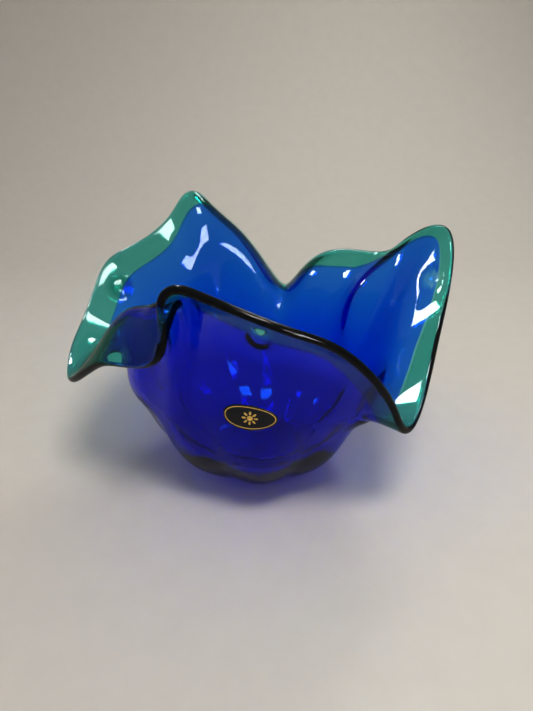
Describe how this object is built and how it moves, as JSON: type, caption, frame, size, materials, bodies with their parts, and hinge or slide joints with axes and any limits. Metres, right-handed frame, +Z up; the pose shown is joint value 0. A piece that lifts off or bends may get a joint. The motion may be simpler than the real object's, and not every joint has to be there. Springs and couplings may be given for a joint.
{
  "type": "art glass bowl",
  "caption": "Free-blown cased glass bowl with a wavy pulled lip, faint ribs around the body and a flat ground foot, for fruit, sweets or display.",
  "frame": {"origin": "centre of the flat ground foot, on the surface that the bowl stands on", "axes": "+Z up; -Y is the side with the label; X runs along the bowl's longest reach, from the low folded lobe at -X to the tall lobe at +X"},
  "size_m": [0.2336, 0.1878, 0.1642],
  "materials": {
    "cobalt_glass": "fire polished",
    "aqua_glass": "fire polished",
    "clear_adhesive": "tacky, under the label only",
    "black_foil": "satin",
    "gold_print": "foil stamped"
  },
  "bodies": {
    "root": {"cobalt_gather": "cobalt_glass", "aqua_casing": "aqua_glass", "label_adhesive": "clear_adhesive", "label_foil": "black_foil", "label_gilding": "gold_print"}
  },
  "joints": []
}
